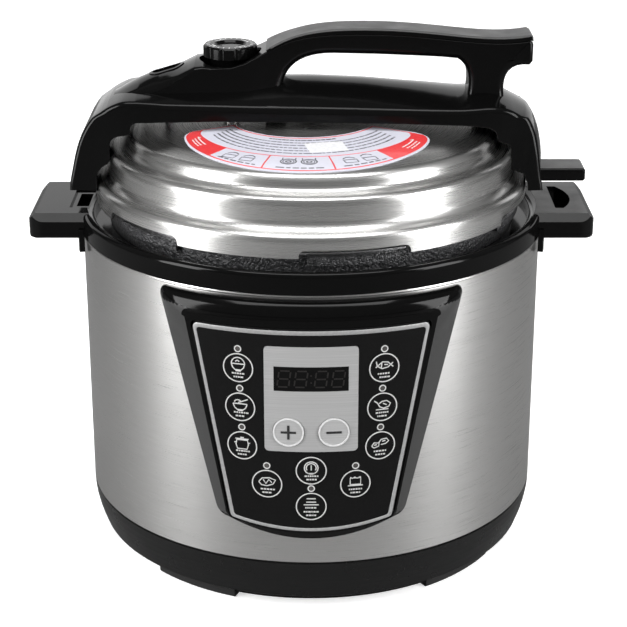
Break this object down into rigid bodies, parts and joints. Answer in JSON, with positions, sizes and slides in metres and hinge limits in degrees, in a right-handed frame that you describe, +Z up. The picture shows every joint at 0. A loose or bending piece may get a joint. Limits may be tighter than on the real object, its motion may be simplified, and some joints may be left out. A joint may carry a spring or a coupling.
{
  "type": "electric pressure cooker",
  "caption": "Electric pressure cooker: steel body with control panel, turning steel lid with bridge handle, steam valve, removable pot and heater.",
  "frame": {"origin": "on the floor, under the middle of the body (centre of the bounding box's base)", "axes": "+Z up along the body's axis; the control panel faces -Y; the side ears and the lid's arm run along X, the finger hole on +X"},
  "size_m": [0.316, 0.2766, 0.2975],
  "materials": {
    "dark_plastic": "satin charcoal moulding",
    "foot_rubber": "matte",
    "screw_steel": "plated",
    "shell_steel": "brushed round the body",
    "gloss_black": "high gloss",
    "cup_plastic": "clear, slightly frosted",
    "cast_dark": "rough dark coating",
    "pot_aluminium": "satin",
    "plate_aluminium": "cast",
    "element_steel": "oxidised tube",
    "beam_steel": "plain",
    "ceramic_white": "matte",
    "spring_steel": "plain",
    "board_green": "solder-masked board",
    "brass_pins": "plain",
    "wire_red": "insulated wire",
    "panel_black": "gloss with silver print",
    "panel_silver": "brushed",
    "window_smoke": "smoked",
    "display_dark": "matte",
    "lamp_clear": "clear",
    "lid_steel": "polished",
    "label_paper": "satin printed film",
    "plate_steel": "satin",
    "seal_silicone": "satin",
    "grip_grey": "satin"
  },
  "bodies": {
    "cooker_body": {"base": "dark_plastic", "feet": "foot_rubber", "base_screws": "screw_steel", "steel_shell": "shell_steel", "collar": "gloss_black", "cup_bracket": "gloss_black", "outer_pot": "cast_dark", "heating_plate": "plate_aluminium", "heating_element": "element_steel", "pressure_beam": "beam_steel", "beam_screws": "screw_steel", "pressure_switch": "ceramic_white", "sensor_spring": "spring_steel", "thermal_fuse": "ceramic_white", "power_board": "board_green", "power_inlet": "dark_plastic", "inlet_pins": "brass_pins", "wiring": "wire_red", "bezel": "gloss_black", "panel_overlay": "panel_black", "display_plate": "panel_silver", "display_window": "window_smoke", "led_display": "display_dark", "display_board": "board_green", "board_screws": "screw_steel", "tact_switches": "display_dark", "indicator_leds": "lamp_clear"},
    "cup": {"condensate_cup": "cup_plastic"},
    "sensor": {"temperature_sensor": "plate_aluminium"},
    "pot": {"inner_pot": "pot_aluminium"},
    "seal": {"sealing_plate": "plate_steel", "gasket": "seal_silicone"},
    "lid": {"lid_shell": "lid_steel", "lid_label": "label_paper", "centre_post": "plate_steel", "post_nut": "plate_steel", "arm_cover": "gloss_black", "arm_end_caps": "dark_plastic", "handle": "gloss_black", "grip_cover": "grip_grey", "handle_screws": "screw_steel", "exhaust_pipe": "plate_steel", "strainer_cap": "plate_steel"},
    "steam_valve": {"valve_knob": "gloss_black", "valve_insert": "plate_steel"},
    "float_valve": {"float_pin": "plate_steel", "float_seal": "seal_silicone"},
    "key_rice": {"button_rice": "panel_black"},
    "key_porridge": {"button_porridge": "panel_black"},
    "key_soup": {"button_soup": "panel_black"},
    "key_fish": {"button_fish": "panel_black"},
    "key_chicken": {"button_chicken": "panel_black"},
    "key_meat": {"button_meat": "panel_black"},
    "key_stew": {"button_stew": "panel_black"},
    "key_slow_cook": {"button_slow_cook": "panel_black"},
    "key_cancel": {"button_cancel": "panel_black"},
    "key_cake": {"button_cake": "panel_black"},
    "key_plus": {"button_plus": "panel_silver"},
    "key_minus": {"button_minus": "panel_silver"}
  },
  "joints": [
    {"name": "pot_lift", "type": "slide", "parent": "cooker_body", "child": "pot", "axis": [0, 0, 1], "range_m": [0, 0.16]},
    {"name": "lid_lift", "type": "slide", "parent": "pot", "child": "seal", "axis": [0, 0, 1], "range_m": [-0.0067, 0.18]},
    {"name": "lid_turn", "type": "hinge", "parent": "seal", "child": "lid", "pos_m": [0, 0, 0.21], "axis": [0, 0, 1], "range_deg": [0, 30]},
    {"name": "valve_turn", "type": "hinge", "parent": "lid", "child": "steam_valve", "pos_m": [-0.045, 0, 0.28], "axis": [0, 0, 1], "range_deg": [0, 90]},
    {"name": "float_rise", "type": "slide", "parent": "lid", "child": "float_valve", "axis": [0, 0, 1], "range_m": [0, 0.0044]},
    {"name": "sensor_press", "type": "slide", "parent": "cooker_body", "child": "sensor", "axis": [0, 0, 1], "range_m": [-0.003, 0], "stiffness_N_per_m": 300, "springref_m": 0.003, "deforming": ["sensor_spring"]},
    {"name": "cup_pull", "type": "slide", "parent": "cooker_body", "child": "cup", "axis": [-0.5592, 0.829, 0], "range_m": [0, 0.03]},
    {"name": "press_rice", "type": "slide", "parent": "cooker_body", "child": "key_rice", "axis": [0.2729, 0.9614, 0.0341], "range_m": [0, 0.0005], "stiffness_N_per_m": 2000},
    {"name": "press_porridge", "type": "slide", "parent": "cooker_body", "child": "key_porridge", "axis": [0.269, 0.9625, 0.0341], "range_m": [0, 0.0005], "stiffness_N_per_m": 2000},
    {"name": "press_soup", "type": "slide", "parent": "cooker_body", "child": "key_soup", "axis": [0.2649, 0.9637, 0.0341], "range_m": [0, 0.0005], "stiffness_N_per_m": 2000},
    {"name": "press_fish", "type": "slide", "parent": "cooker_body", "child": "key_fish", "axis": [-0.2729, 0.9614, 0.0341], "range_m": [0, 0.0005], "stiffness_N_per_m": 2000},
    {"name": "press_chicken", "type": "slide", "parent": "cooker_body", "child": "key_chicken", "axis": [-0.269, 0.9625, 0.0341], "range_m": [0, 0.0005], "stiffness_N_per_m": 2000},
    {"name": "press_meat", "type": "slide", "parent": "cooker_body", "child": "key_meat", "axis": [-0.2649, 0.9637, 0.0341], "range_m": [0, 0.0005], "stiffness_N_per_m": 2000},
    {"name": "press_stew", "type": "slide", "parent": "cooker_body", "child": "key_stew", "axis": [0.1717, 0.9846, 0.0341], "range_m": [0, 0.0005], "stiffness_N_per_m": 2000},
    {"name": "press_slow_cook", "type": "slide", "parent": "cooker_body", "child": "key_slow_cook", "axis": [0, 0.9994, 0.0341], "range_m": [0, 0.0005], "stiffness_N_per_m": 2000},
    {"name": "press_cancel", "type": "slide", "parent": "cooker_body", "child": "key_cancel", "axis": [0, 0.9994, 0.0341], "range_m": [0, 0.0005], "stiffness_N_per_m": 2000},
    {"name": "press_cake", "type": "slide", "parent": "cooker_body", "child": "key_cake", "axis": [-0.1717, 0.9846, 0.0341], "range_m": [0, 0.0005], "stiffness_N_per_m": 2000},
    {"name": "press_plus", "type": "slide", "parent": "cooker_body", "child": "key_plus", "axis": [0.0866, 0.9957, 0.0341], "range_m": [0, 0.0005], "stiffness_N_per_m": 2000},
    {"name": "press_minus", "type": "slide", "parent": "cooker_body", "child": "key_minus", "axis": [-0.0866, 0.9957, 0.0341], "range_m": [0, 0.0005], "stiffness_N_per_m": 2000}
  ]
}
